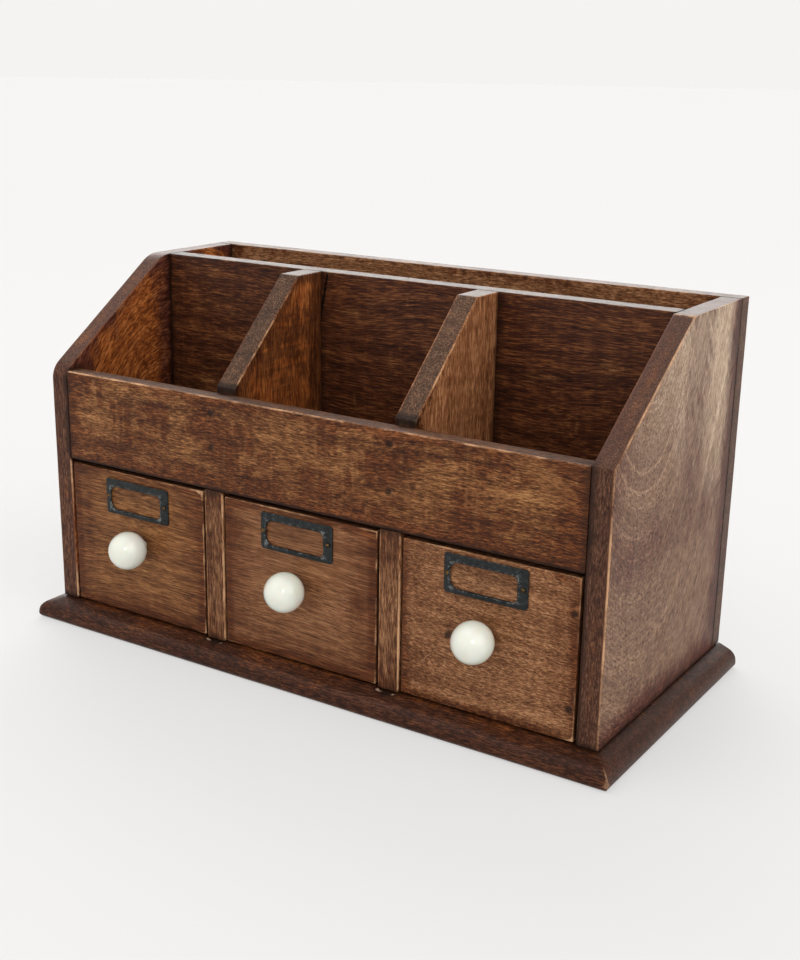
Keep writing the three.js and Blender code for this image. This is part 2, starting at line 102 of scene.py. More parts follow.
class Graph:
    """Adds nodes to a node tree. An input is a number, a colour, a vector or another node's output."""

    def __init__(self, tree):
        self.tree = tree
        tree.nodes.clear()

    def add(self, kind, inputs=None, output=0, **settings):
        node = self.tree.nodes.new(kind)
        for key, value in settings.items():
            setattr(node, key, value)
        for key, value in (inputs or {}).items():
            if isinstance(value, bpy.types.NodeSocket):
                self.tree.links.new(value, node.inputs[key])
            else:
                node.inputs[key].default_value = value
        return node.outputs[output] if node.outputs else None

    def math(self, operation, first, second=0.0):
        return self.add("ShaderNodeMath", {0: first, 1: second}, operation=operation)

    def plus(self, *values):
        total = values[0]
        for value in values[1:]:
            total = self.math("ADD", total, value)
        return total

    def times(self, first, second):
        return self.math("MULTIPLY", first, second)

    def swing(self, value, amount):
        """A noise value, turned into a swing of that amount either side of zero."""
        return self.times(self.math("SUBTRACT", value, 0.5), amount)

    def vector(self, operation, first, second, output=0):
        return self.add("ShaderNodeVectorMath", {0: first, 1: second}, output, operation=operation)

    def noise(self, vector, detail=3.0, roughness=0.55, output=0):
        inputs = {"Vector": vector, "Scale": 1.0, "Detail": detail, "Roughness": roughness}
        return self.add("ShaderNodeTexNoise", inputs, output)

    def span(self, value, low, high, to_low=0.0, to_high=1.0, smooth=True):
        """value, taken from low..high to to_low..to_high and held at the ends."""
        inputs = {"Value": value, "From Min": low, "From Max": high, "To Min": to_low, "To Max": to_high}
        kind = "SMOOTHSTEP" if smooth else "LINEAR"
        return self.add("ShaderNodeMapRange", inputs, interpolation_type=kind)

    def mix(self, factor, first, second, blend="MIX"):
        inputs = {0: factor, 6: first, 7: second}
        return self.add("ShaderNodeMix", inputs, 2, data_type="RGBA", blend_type=blend)

    def ramp(self, factor, stops):
        socket = self.add("ShaderNodeValToRGB", {0: factor})
        elements = socket.node.color_ramp.elements
        while len(elements) < len(stops):
            elements.new(0.5)
        for element, (place, colour) in zip(elements, stops):
            element.position = place
            element.color = colour
        return socket

    def attribute(self, name):
        return self.add("ShaderNodeAttribute", output=2, attribute_name=name)

    def bump(self, height, strength, depth_mm):
        inputs = {"Height": height, "Strength": strength, "Distance": depth_mm * MM}
        return self.add("ShaderNodeBump", inputs)

    def millimetres(self):
        """The point's place in the CAD frame, in millimetres."""
        place = self.add("ShaderNodeTexCoord", output=3)
        return self.vector("MULTIPLY", place, (1 / MM, 1 / MM, 1 / MM))


def rgb(red, green, blue):
    """A linear colour from an everyday 0..255 one."""

    def linear(value):
        part = value / 255
        return part / 12.92 if part <= 0.04045 else ((part + 0.055) / 1.055) ** 2.4

    return (linear(red), linear(green), linear(blue), 1.0)


def new_material(name):
    material = bpy.data.materials.new(name)
    material.use_nodes = True
    return material, Graph(material.node_tree)


def principled(graph, colour, roughness, **others):
    """The surface shader and the output. Other inputs are named with underscores for spaces."""
    inputs = {"Base Color": colour, "Roughness": roughness}
    inputs.update({key.replace("_", " "): value for key, value in others.items()})
    surface = graph.add("ShaderNodeBsdfPrincipled", inputs)
    graph.add("ShaderNodeOutputMaterial", {"Surface": surface})


# ------------------------------------------------------------------ wood

BARE_WOOD = rgb(196, 152, 114)
SCRATCHED_WOOD = rgb(150, 112, 82)
# painted shade, for a crack too narrow to be modelled
GAP_SHADE = rgb(12, 6, 4)
OLD_GLUE = rgb(138, 116, 98)
# the colour of dirt, and of painted shade in some spots
GRIME_AND_SHADE = rgb(24, 13, 8)
AXES = ("X", "Y", "Z")
TONE_STOPS = (0.1, 0.5, 0.9)  # where a stain's dark, middle and light tones lie
FACE_SKIN = (0.4, 1.4)  # a broad face's look ends between these depths under it, in mm

# tones from dark to light
OCHRE = (rgb(58, 33, 16), rgb(115, 73, 41), rgb(169, 122, 77))
RUSSET = (rgb(34, 16, 8), rgb(76, 39, 19), rgb(128, 76, 40))
AMBER = (rgb(60, 27, 10), rgb(130, 68, 30), rgb(186, 116, 60))
# greyish tones for the side panels' outer faces, partly the wood's own and partly painted sheen
ASH = (rgb(68, 44, 30), rgb(113, 82, 61), rgb(158, 127, 102))
DUSTY = (rgb(54, 34, 20), rgb(94, 64, 42), rgb(138, 102, 70))
TAN = (rgb(68, 39, 21), rgb(118, 77, 49), rgb(174, 129, 92))
CARAMEL = (rgb(76, 41, 22), rgb(131, 82, 51), rgb(186, 135, 93))
MAROON = (rgb(36, 14, 9), rgb(74, 36, 25), rgb(118, 72, 52))
SOOTY = (rgb(28, 13, 8), rgb(64, 32, 18), rgb(118, 72, 40))
UMBER = (rgb(26, 12, 7), rgb(54, 28, 17), rgb(92, 55, 35))
END_GRAIN = (rgb(32, 21, 14), rgb(66, 47, 35), rgb(116, 87, 65))
# pale tones that paint the sheen towards the top and back of the side panels' outer faces
CHALKY = (rgb(126, 102, 80), rgb(180, 155, 130), rgb(214, 193, 170))
PINE = (rgb(96, 62, 36), rgb(138, 96, 60), rgb(176, 134, 92))


class Stain:
    """One wood finish. The bare tones show where the stain is thin, the deep ones where it has soaked in."""

    def __init__(
        self, bare, deep, soaked=0.5, figure=1.0, length=1.0, contrast=1.0, ends=0.6, roughness=0.42,
        grime=1.0,
    ):
        self.bare = bare
        self.deep = deep
        self.soaked = soaked
        self.figure = figure  # how blotchy it is
        self.length = length  # of its fibres
        self.contrast = contrast  # between them
        self.ends = ends  # how much greyer its narrow faces are
        self.roughness = roughness
        self.grime = grime  # how dirty it is near other boards
        self.heart = None  # (along, across, squeeze) of the point that the grain runs round, in mm
        self.outside = None  # the bare tones of the broad face on this side: 0 is low, 1 is high
        self.side = 0
        self.painted_sheen_span = None  # the span over which that face pales in painted sheen, in mm of along + 0.7 across

    def with_outer_face(self, tones, side, heart, painted_sheen_span):
        """The same finish with its own tones on one broad face, which pale in painted sheen over a span, on a
        board sawn through the heart of the tree.
        """
        self.outside = tones
        self.side = side
        self.heart = heart
        self.painted_sheen_span = painted_sheen_span
        return self


CABINET = Stain(OCHRE, RUSSET, soaked=0.45, figure=0.7)
BACK = Stain(TAN, RUSSET, soaked=-0.1, figure=0.7).with_outer_face(DUSTY, 1, None, (0.0, 1500.0))
# the side panels' outer faces are greyish and pale towards the top and back: partly their own tone, partly
# painted sheen
RIGHT_SIDE = Stain(AMBER, MAROON, soaked=0.15, figure=0.35, length=0.7, contrast=0.75, grime=1.5)
RIGHT_SIDE = RIGHT_SIDE.with_outer_face(ASH, 1, (300.0, -40.0, 0.46), (110.0, 235.0))
LEFT_SIDE = Stain(AMBER, MAROON, soaked=0.1, figure=0.5, ends=0.5, grime=1.5)
LEFT_SIDE = LEFT_SIDE.with_outer_face(ASH, 0, (-90.0, 25.0, 0.5), (60.0, 260.0))
DIVIDER = Stain(AMBER, RUSSET, soaked=0.48, length=1.6, ends=0.85)
PALE_DIVIDER = Stain(CARAMEL, RUSSET, soaked=-0.3, length=1.6, ends=0.9)
INNER = Stain(OCHRE, SOOTY, soaked=1.0, figure=0.8, length=2.0, ends=0.9)
POST = Stain(TAN, RUSSET, soaked=-0.3, figure=0.7, length=1.6, ends=0.2)
DRAWER_FRONTS = {
    "left": Stain(OCHRE, RUSSET, soaked=0.28, figure=0.2, length=2.5, contrast=0.75),
    "middle": Stain(TAN, RUSSET, soaked=0.28, figure=0.2, length=2.5, contrast=0.62),
    "right": Stain(TAN, RUSSET, soaked=0.05, figure=0.4, length=0.6, contrast=0.9),
}
BASE = Stain(RUSSET, UMBER, soaked=0.4, ends=0.0, roughness=0.32)
BOX = Stain(PINE, OCHRE, soaked=0.15, length=2.5, roughness=0.6, grime=0.5)


def line_marks(g, colour, marks):
    """Draws ragged lines on a surface: each mark is (start, end, width in mm, colour)."""
    place = g.millimetres()
    jitter = g.noise(g.vector("MULTIPLY", place, (0.45, 0.45, 0.45)), 3, 0.7, output=1)
    jitter = g.vector("MULTIPLY", g.vector("SUBTRACT", jitter, (0.5, 0.5, 0.5)), (1.6, 1.6, 1.6))
    for start, end, width, tone in marks:
        run = (end - start) / MM
        from_start = g.vector("SUBTRACT", g.vector("ADD", place, jitter), start / MM)
        part = g.vector("DOT_PRODUCT", from_start, run / run.length_squared, 1)
        nearest = g.vector("SCALE", run, (0, 0, 0))
        g.tree.links.new(g.span(part, 0.0, 1.0, smooth=False), nearest.node.inputs["Scale"])
        distance = g.vector("DISTANCE", from_start, nearest, 1)
        colour = g.mix(g.span(distance, 0.35 * width, 0.65 * width, 1.0, 0.0), colour, tone)
    return colour


def wood(name, stain, grain, thin, seed, faces, marks=()):
    """Stained wood with its grain along one axis. Its broad faces are at two places, in mm, along another."""
    material, g = new_material(name)
    across = next(axis for axis in AXES if axis not in (grain, thin))
    parts = g.add("ShaderNodeSeparateXYZ", {0: g.millimetres()}).node.outputs
    along = parts[grain]
    under_low = g.math("SUBTRACT", parts[thin], faces[0])
    under_high = g.math("SUBTRACT", faces[1], parts[thin])
    depth = g.math("MINIMUM", under_low, under_high)
    narrow = g.span(depth, *FACE_SKIN)
    broad = g.span(depth, *FACE_SKIN, 1.0, 0.0)
    outside = g.math("ABSOLUTE", g.math("SUBTRACT", parts[thin], faces[stain.side]))
    outside = g.span(outside, *FACE_SKIN, 1.0, 0.0)
    place = g.add("ShaderNodeCombineXYZ", {0: along, 1: parts[across], 2: parts[thin]})
    grained = place
    if stain.heart:
        up, aside, squeeze = stain.heart
        rise = g.times(g.math("SUBTRACT", up, along), squeeze)
        reach = g.math("SUBTRACT", parts[across], aside)
        turn = g.times(g.math("ARCTAN2", rise, reach), 130.0)
        radius = g.math("SQRT", g.plus(g.times(rise, rise), g.times(reach, reach)))
        round_heart = g.add("ShaderNodeCombineXYZ", {0: turn, 1: radius, 2: parts[thin]})
        grained = g.add("ShaderNodeMix", {0: broad, 4: place, 5: round_heart}, 1, data_type="VECTOR")
    shift = (seed * 137.0, seed * 71.0, seed * 53.0)
    place = g.vector("ADD", place, shift)
    grained = g.vector("ADD", grained, shift)

    def scaled(vector, lengthways, crossways):
        return g.vector("MULTIPLY", vector, (lengthways, crossways, crossways))

    def toned(tones):
        return g.ramp(value, list(zip(TONE_STOPS, tones)))

    # the grain wanders sideways, slowly along the board
    sway = g.noise(scaled(grained, 0.009, 0.014), 1, output=1)
    sway = g.vector("MULTIPLY", g.vector("SUBTRACT", sway, (0.5, 0.5, 0.5)), (0.0, 14.0, 14.0))
    grained = g.vector("ADD", grained, sway)

    dashes = g.noise(scaled(grained, 0.2 / stain.length, 1.4), 2, 0.6)
    fibre = g.noise(scaled(grained, 0.5 / stain.length, 3.6), 2, 0.6)
    streak = g.noise(scaled(grained, 0.014, 0.22), 3, 0.65)
    ripple = g.noise(scaled(grained, 0.22, 0.025), 2)
    patch = g.noise(scaled(grained, 0.026, 0.05), 4, 0.62)
    blot = g.noise(scaled(grained, 0.1, 0.24), 3, 0.6)

    # growth rings show as pale lines along the grain
    curved = g.add("ShaderNodeSeparateXYZ", {0: grained}).node.outputs
    ring_rate = 0.2 if stain.heart else 0.13
    ring_inputs = {
        "W": g.times(g.plus(curved["Y"], g.times(curved["Z"], 0.6)), ring_rate),
        "Scale": 1.0,
        "Detail": 4.0,
    }
    rings = g.add("ShaderNodeTexNoise", ring_inputs, noise_dimensions="1D")

    value = g.plus(
        0.5,
        g.swing(dashes, 1.6 * stain.contrast),
        g.swing(fibre, 1.0 * stain.contrast),
        g.swing(streak, 0.15 if stain.heart else 0.6 * stain.contrast),
        g.swing(ripple, 0.35 * stain.figure),
        g.times(g.swing(rings, 0.25 if stain.heart else 0.4), broad),
    )
    if stain.heart:
        lines = g.times(g.span(rings, 0.54, 0.6), g.span(rings, 0.6, 0.66, 1.0, 0.0))
        # they are clearest towards the top of a side panel
        lines = g.times(lines, g.span(along, 50.0, 130.0, 0.25, 1.0))
        value = g.plus(value, g.times(g.times(lines, broad), g.span(dashes, 0.3, 0.6, 0.05, 0.24)))
    bare_tone = toned(stain.bare)
    deep_tone = toned(stain.deep)
    if stain.outside:
        # painted sheen: the outer face pales to chalky tones further along and across the board, towards the
        # top and back of a side panel
        toward = g.plus(along, g.times(parts[across], 0.7), g.swing(patch, 120.0))
        outer_tone = g.mix(g.span(toward, *stain.painted_sheen_span, 0.0, 0.85), toned(stain.outside), toned(CHALKY))
        bare_tone = g.mix(outside, bare_tone, outer_tone)
    joint = g.attribute("joint_mm")
    edge = g.attribute("edge_mm")
    outline = g.span(outside, 0.0, 1.0, 1.0, 0.0) if stain.outside else 1.0
    soaked = g.plus(
        stain.soaked,
        g.swing(patch, 3.0 * stain.figure),
        g.swing(blot, 1.0 * stain.figure),
        g.times(g.swing(ripple, 3.0 * stain.figure), g.span(patch, 0.42, 0.56)),
        g.times(narrow, 0.45),
        g.times(g.span(edge, 1.0, 7.0, 0.4, 0.0), outline),
        g.span(joint, 2.0, 22.0, 0.5 * stain.grime, 0.0),
    )
    colour = g.mix(g.span(soaked, 0.1, 0.9), bare_tone, deep_tone)
    colour = g.mix(g.times(narrow, stain.ends), colour, toned(END_GRAIN))

    # short dark pores along the grain
    fleck = g.noise(scaled(grained, 0.22 / stain.length, 2.1), 2)
    pores = g.span(fleck, 0.58, 0.64)
    colour = g.mix(g.times(pores, 0.6), colour, stain.deep[0])

    # dirt and stain gather where boards meet
    cloud = g.noise(scaled(place, 0.09, 0.09), 4, 0.6)
    dirt = g.span(g.plus(joint, g.swing(cloud, 7.0)), -0.5, 5.0, 0.6 * stain.grime, 0.0)
    colour = g.mix(dirt, colour, GRIME_AND_SHADE)

    # the stain is rubbed off the free corners, in thin broken lines
    rubbed = g.attribute("rub")
    handling = g.noise(scaled(place, 0.035, 0.06), 4, 0.7)
    wear = g.plus(g.swing(handling, 1.7), g.times(rubbed, 0.45), g.swing(fibre, 0.5))
    worn_line = g.span(rubbed, 0.0, 1.0, 0.3, 1.1)
    worn_patch = g.span(rubbed, 0.8, 1.3, 0.0, 7.0)
    reach = g.plus(worn_line, worn_patch, g.swing(cloud, 1.2))
    bare = g.span(g.math("SUBTRACT", edge, reach), -0.3, 0.5, 1.0, 0.0)
    bare = g.times(g.times(bare, g.span(wear, 0.0, 0.5)), g.span(joint, 0.8, 3.0, 0.0, 0.9))
    colour = g.mix(bare, colour, BARE_WOOD)

    # nail spots are filled with dark wax, old glue has darkened some places, and some spots are painted
    # shade: round the knob seats and along the gap above the drawers
    spot = g.span(g.plus(g.attribute("spot"), g.swing(fibre, 0.3), g.swing(cloud, 0.4)), 0.15, 0.65)
    colour = g.mix(g.times(spot, 0.8), colour, GRIME_AND_SHADE)
    if marks:
        colour = line_marks(g, colour, marks)

    polish = g.noise(scaled(place, 0.05, 0.06), 3)
    rough = g.plus(stain.roughness, g.swing(polish, 0.16), g.times(pores, 0.12), g.times(bare, 0.2))

    height = g.plus(g.times(dashes, 0.5), g.times(fibre, 0.35), g.times(pores, -0.5))
    normal = g.bump(height, 0.5, 0.15)
    principled(g, colour, rough, Normal=normal, Specular_IOR_Level=0.12)
    return material


# ------------------------------------------------------------------ mesh helpers


SHARP = math.radians(42)  # edges that turn by more than this are shaded as corners


def new_object(name, bm, material):
    mesh = bpy.data.meshes.new(name)
    bm.to_mesh(mesh)
    bm.free()
    mesh.polygons.foreach_set("use_smooth", [True] * len(mesh.polygons))
    mesh.materials.append(material)
    made = bpy.data.objects.new(name, mesh)
    bpy.context.collection.objects.link(made)
    return made


def finish_piece(name, bm, material, body, nodes):
    """Turns a bmesh into an object that rides on a body and stands for some CAD nodes."""
    for edge in bm.edges:
        edge.smooth = edge.calc_face_angle(0) < SHARP
    piece = new_object(name, bm, material)
    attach(piece, body)
    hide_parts(*nodes)
    return piece


def unit(axis):
    return Vector([1.0 if index == axis else 0.0 for index in range(3)])


def hull_outline(node, axis):
    """The node's outline seen along an axis, as a convex ring of points without spare ones."""
    first, second = [index for index in range(3) if index != axis]
    flat = {(round(v.co[first], 6), round(v.co[second], 6)) for v in frame["nodes"][node].data.vertices}
    flat = [Vector(point) for point in sorted(flat)]
    ring = [flat[index] for index in geometry.convex_hull_2d(flat)]
    kept = []
    for index, point in enumerate(ring):
        before = (point - ring[index - 1]).normalized()
        after = (ring[(index + 1) % len(ring)] - point).normalized()
        if abs(before.x * after.y - before.y * after.x) > 0.01:
            kept.append(point)
    return kept


def prism(outline, axis, low, high):
    """A solid with that outline, from low to high along the axis."""
    bm = bmesh.new()
    first, second = [index for index in range(3) if index != axis]

    def corner(point, along):
        place = Vector((0, 0, 0))
        place[first], place[second], place[axis] = point.x, point.y, along
        return bm.verts.new(place)

    rings = [[corner(point, along) for point in outline] for along in (low, high)]
    bm.faces.new(rings[0])
    bm.faces.new(rings[1])
    for index in range(len(outline)):
        after = (index + 1) % len(outline)
        bm.faces.new((rings[0][index], rings[0][after], rings[1][after], rings[1][index]))
    bmesh.ops.recalc_face_normals(bm, faces=bm.faces)
    return bm


def bevel(bm, edges, width, segments):
    bmesh.ops.bevel(bm, geom=edges, offset=width, segments=segments, profile=0.5, affect="EDGES")


def cut_at(bm, place, normal):
    everything = bm.verts[:] + bm.edges[:] + bm.faces[:]
    bmesh.ops.bisect_plane(bm, geom=everything, plane_co=place, plane_no=normal, dist=1e-7)


def grid_lines(low, high, cell, margins):
    """Places to cut between low and high: one per cell, and one at each margin in from both ends."""
    near = [low + margin for margin in margins] + [high - margin for margin in margins]
    near = [place for place in near if low < place < high]
    count = max(1, round((high - low) / cell))
    lines = [low + (high - low) * step / count for step in range(1, count)]
    spaced = [place for place in lines if all(abs(place - other) > 0.8 * MM for other in near)]
    return sorted(near + spaced)


def edge_distance(point, planes):
    """How far a point on a convex solid is from its nearest edge."""
    return sorted(abs((centre - point).dot(normal)) for centre, normal in planes)[1]


def box_distance(point, box):
    low, high = box
    gaps = [max(low[axis] - point[axis], 0, point[axis] - high[axis]) for axis in range(3)]
    return Vector(gaps).length


def nearness(point, spots):
    """The strongest effect at a point of spots that are (start, end, radius, strength) and fade outwards."""
    best = 0.0
    for start, end, radius, strength in spots:
        run = end - start
        part = (point - start).dot(run) / run.length_squared if run.length > 0 else 0.0
        nearest = start + run * min(1.0, max(0.0, part))
        best = max(best, strength * (1 - (point - nearest).length / radius))
    return best


NAIL_SPOT = 3.2 * MM  # radius of the dark spot round a nail
WAVINESS = 0.14  # of a board's faces, in mm
CHIP_DEPTH = 0.25  # along its edges, in mm


def weather(bm, distance, seed, neighbours, nails=(), stains=(), rubs=()):
    """Presses worn places into a board and stores the distances that its material reads."""
    layers = {name: bm.verts.layers.float.new(name) for name in ("edge_mm", "joint_mm", "spot", "rub")}
    nail_spots = [(nail, nail, NAIL_SPOT, 1.0) for nail in nails]
    bm.normal_update()
    offset = Vector((seed * 31.7, seed * 17.3, seed * 9.1))
    moves = []
    for vert in bm.verts:
        edge = distance(vert.co) / MM
        joint = min([30.0] + [box_distance(vert.co, box) / MM for box in neighbours])
        nailed = nearness(vert.co, nail_spots)
        rubbed = nearness(vert.co, rubs)
        vert[layers["edge_mm"]] = min(edge, 30.0)
        vert[layers["joint_mm"]] = joint
        vert[layers["spot"]] = max(nailed, nearness(vert.co, stains))
        vert[layers["rub"]] = rubbed
        place = vert.co / MM + offset
        wave = WAVINESS * (0.5 + 0.5 * noise.noise(place * 0.035))
        worn = math.exp(-((edge / 1.4) ** 2)) * (0.4 + rubbed)
        nick = max(0.0, noise.noise(place * 0.07) + 0.1 + 0.4 * noise.noise(place * 0.3))
        dent = 0.45 * min(1.0, nailed * 2)
        moves.append((vert, vert.normal * ((wave + CHIP_DEPTH * worn * nick + dent) * MM)))
    for vert, move in moves:
        vert.co -= move


# ------------------------------------------------------------------ boards

ROUNDING = 0.6 * MM  # every sawn edge is sanded to about this radius
EDGE_ROWS = (1.5 * MM, 3.0 * MM)  # finer rows of the mesh along the edges
SHRINKAGE = Vector((0.6, 0.0, 0.7)) * MM  # what a drawer front has lost from its right side and its top


def board(
    node, stain, slot, grain, seed, body="carcass", cell=5.0, corner_radius=0.0, shrunk=Vector(),
    marks=(), **wear
):
    """A worn board in the place of one flat CAD node. wear has the nails, the stains and painted shade, and
    the rubs for weather.
    A shrunk board has lost that much from its high sides."""
    low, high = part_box(node)
    size = high - low
    thin = min(range(3), key=lambda index: size[index])
    bm = prism(hull_outline(node, thin), thin, low[thin], high[thin])
    for vert in bm.verts:
        for index in range(3):
            if vert.co[index] > high[index] - MM:
                vert.co[index] -= shrunk[index]
    planes = [(face.calc_center_median(), face.normal.copy()) for face in bm.faces]
    if corner_radius:
        blunt = [edge for edge in bm.edges if 0.2 < edge.calc_face_angle() < 1.3]
        bevel(bm, blunt, corner_radius * MM, 5)
    bevel(bm, [edge for edge in bm.edges if edge.calc_face_angle() > 0.5], ROUNDING, 3)

    for index in range(3):
        lines = grid_lines(low[index], high[index], cell * MM, EDGE_ROWS)
        if index != thin:
            for nail in wear.get("nails", ()):
                lines += [nail[index] + step * NAIL_SPOT / 4 for step in range(-4, 5)]
        for line in lines:
            cut_at(bm, unit(index) * line, unit(index))
    for centre, normal in planes:
        if max(map(abs, normal)) < 0.999:
            for row in EDGE_ROWS:
                cut_at(bm, centre - normal * row, normal)

    neighbours = [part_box(other) for other in boards_of(body) if other != node]
    weather(bm, lambda point: edge_distance(point, planes), seed, neighbours, **wear)
    faces = (low[thin] / MM, high[thin] / MM)
    material = wood(f"{node}_wood", stain, grain, AXES[thin], seed, faces, marks)
    return finish_piece(f"{node}_worn", bm, material, body, [node])


def nail_heads(body, word="nail"):
    """Where a body's nails meet the face that they were driven through: the front end of each."""
    nodes = [node for node in BODIES[body] if word in node]
    return [Vector((centre_of(node).x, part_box(node)[0].y, centre_of(node).z)) for node in nodes]


def edge_line(node, start, end, strength, radius=5.0):
    """A line between two corners of a node's box, which rubs its edge or darkens it."""
    return (corner(node, *start), corner(node, *end), radius * MM, strength)


def dab(point, radius, strength=1.3):
    """A round spot, with its radius in mm. The usual strength is that of old glue."""
    return (point, point, radius * MM, strength)


# the front board: bright along its top edge, dark where the dividers are glued behind it
divider_feet = [corner(f"compartment_divider_{side}", 0.5, 0, 0.96) for side in ("left", "right")]
on_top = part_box("front_board")[1].z
# a dark line along the front board's lower edge: partly grime, partly painted shade that widens the gap above
# the drawers
lower_edge_grime_and_shade = edge_line("front_board", (0, 0, 0), (1, 0, 0), 1.0, 2.6)
board(
    "front_board", CABINET, "cabinet_wood", "X", 1, nails=nail_heads("carcass"),
    stains=[
        *[dab(Vector((foot.x, foot.y, on_top)), 5.0) for foot in divider_feet],
        dab(corner("front_board", 0.4085, 0, 0.985), 2.6),
        lower_edge_grime_and_shade,
    ],
    rubs=[edge_line("front_board", (0, 0, 1), (1, 0, 1), 0.62)],
)

# the side panels: the left one has a softer shoulder
board(
    "side_panel_left", LEFT_SIDE, "cabinet_wood", "Z", 2, corner_radius=6,
    rubs=[edge_line("side_panel_left", (1, 0, 0), (1, 0, 0.7), 0.62)],
)
outer_slope = slope_of("side_panel_right", 1)
board(
    "side_panel_right", RIGHT_SIDE, "cabinet_wood", "Z", 3,
    stains=[
        (corner("side_panel_right", 1, 0.91, 0.87), corner("side_panel_right", 1, 0.94, 0.92), 7 * MM, 0.5),
        # darker along the inner front edge, beside the right drawer
        edge_line("side_panel_right", (0, 0, 0), (0, 0, 0.44), 1.0, 2.4),
    ],
    rubs=[(*outer_slope, 5 * MM, 0.66), (corner("side_panel_right", 1, 0, 0), outer_slope[0], 5 * MM, 0.6)],
)
board("back_panel", BACK, "cabinet_wood", "X", 4)
crack_foot = corner("letter_divider", 0.343, 0, 0.683)
crack_top = corner("letter_divider", 0.361, 0, 0.985)
board(
    "letter_divider", INNER, "cabinet_wood", "X", 5,
    # painted shade: a near-black line stands in for the shadow in the gap that opens behind a divider
    marks=[(crack_foot, crack_top, 1.5, GAP_SHADE)],
)
board("compartment_floor", INNER, "cabinet_wood", "X", 6)
for index, side in enumerate(("left", "right")):
    divider = f"compartment_divider_{side}"
    foot, shoulder = slope_of(divider, 1)
    board(
        divider, PALE_DIVIDER if side == "right" else DIVIDER, "cabinet_wood", "Z", 7 + index,
        stains=[dab(slope_of(divider, across)[0], 4.8) for across in (0.1, 0.5, 0.9)],
        rubs=[(foot, foot.lerp(shoulder, 0.6), 4 * MM, 0.5)],
    )
    partition = f"drawer_partition_{side}"
    board(
        partition, POST, "cabinet_wood", "Z", 9 + index,
        rubs=[
            edge_line(partition, (1, 0, 0), (1, 0, 1), 0.78 + 0.05 * index, 4.0),
            edge_line(partition, (0, 0, 0), (0, 0, 1), 0.35),
        ],
    )

# the drawers: the fronts are stained, the boxes behind them hardly
BOX_GRAIN = {"side_left": "Y", "side_right": "Y", "back": "X", "bottom": "X"}
drawer_patches = {
    "left": [dab(corner("drawer_left_front", 0.97, 0, 0.98), 12, 1.0)],
    "middle": [],
    "right": [dab(corner("drawer_right_front", 0.985, 0, 0.0), 6, 1.25)],
}
knot = corner("drawer_right_front", 0.272, 0, 0.453)
scratch = (corner("drawer_right_front", 0.176, 0, 0.308), corner("drawer_right_front", 0.12, 0, 0.232))
for bay_index, bay in enumerate(BAYS):
    body = f"drawer_{bay}"
    face = f"{body}_front"
    seed = 20 + 10 * bay_index
    right = bay == "right"
    seat = Vector((centre_of(f"{body}_knob").x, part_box(face)[0].y, centre_of(f"{body}_knob").z))
    label = f"{body}_label_frame"
    dark_spots_and_painted_shade = [
        # painted shade: a dark ring round the knob's seat stands in for the knob's contact shadow
        dab(seat, 11, 0.62),
        # the wood inside the label frame's window is darker
        (corner(label, 0.25, 0, 0.5), corner(label, 0.75, 0, 0.5), 16 * MM, 0.36),
    ]
    if right:
        dark_spots_and_painted_shade.append(dab(knot, 3.2))
    board(
        face, DRAWER_FRONTS[bay], "drawer_front_wood", "X", seed, body, cell=4.0, shrunk=SHRINKAGE,
        nails=nail_heads(body, "nail_right") if right else (),
        stains=dark_spots_and_painted_shade,
        rubs=[
            edge_line(face, (0, 0, 1), (1, 0, 1), 0.2 + 0.13 * bay_index),
            edge_line(face, (1, 0, 0), (1, 0, 1), 0.3),
            *drawer_patches[bay],
        ],
        marks=[(*scratch, 0.4, SCRATCHED_WOOD)] if right else (),
    )
    for index, (part, grain) in enumerate(BOX_GRAIN.items()):
        board(f"{body}_{part}", BOX, "drawer_box_wood", grain, seed + 1 + index, body, cell=8.0)

# ------------------------------------------------------------------ base board

GLUE_CRUMBS = (  # in front of a partition's foot: start, end and width, in mm
    ((-6.0, -1.2, 0.0), (-3.5, -2.0, 0.0), 1.8),
    ((2.5, -2.6, 0.0), (4.5, -1.6, 0.0), 1.6),
    ((-1.5, -3.6, 0.0), (0.5, -4.2, 0.0), 1.4),
)


def softened(points, radius):
    """An open line of points with each sharp corner swapped for a small curve."""
    result = [points[0]]
    for before, corner, after in zip(points, points[1:], points[2:]):
        back, forth = before - corner, after - corner
        if back.angle(forth) > math.radians(160):
            result.append(corner)
            continue
        reach = min(radius, back.length * 0.45, forth.length * 0.45)
        start, end = corner + back.normalized() * reach, corner + forth.normalized() * reach
        for step in range(5):
            part = step / 4
            result.append(start.lerp(corner, part).lerp(corner.lerp(end, part), part))
    result.append(points[-1])
    return result


def divided(points, longest):
    """The same line with no step longer than that."""
    result = [points[0]]
    for before, after in zip(points, points[1:]):
        count = max(1, math.ceil((after - before).length / longest))
        result += [before.lerp(after, step / count) for step in range(1, count + 1)]
    return result


def moulding_profile():
    """The moulded edge as (distance in, height), read off a mitre of the CAD node."""
    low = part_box("base_board")[0]
    found = set()
    for vert in frame["nodes"]["base_board"].data.vertices:
        inward = vert.co - low
        if abs(inward.x - inward.y) < 1e-5:
            found.add((round(inward.y, 5), round(vert.co.z, 5)))
    return [Vector(point) for point in sorted(found, key=lambda point: -point[1])]


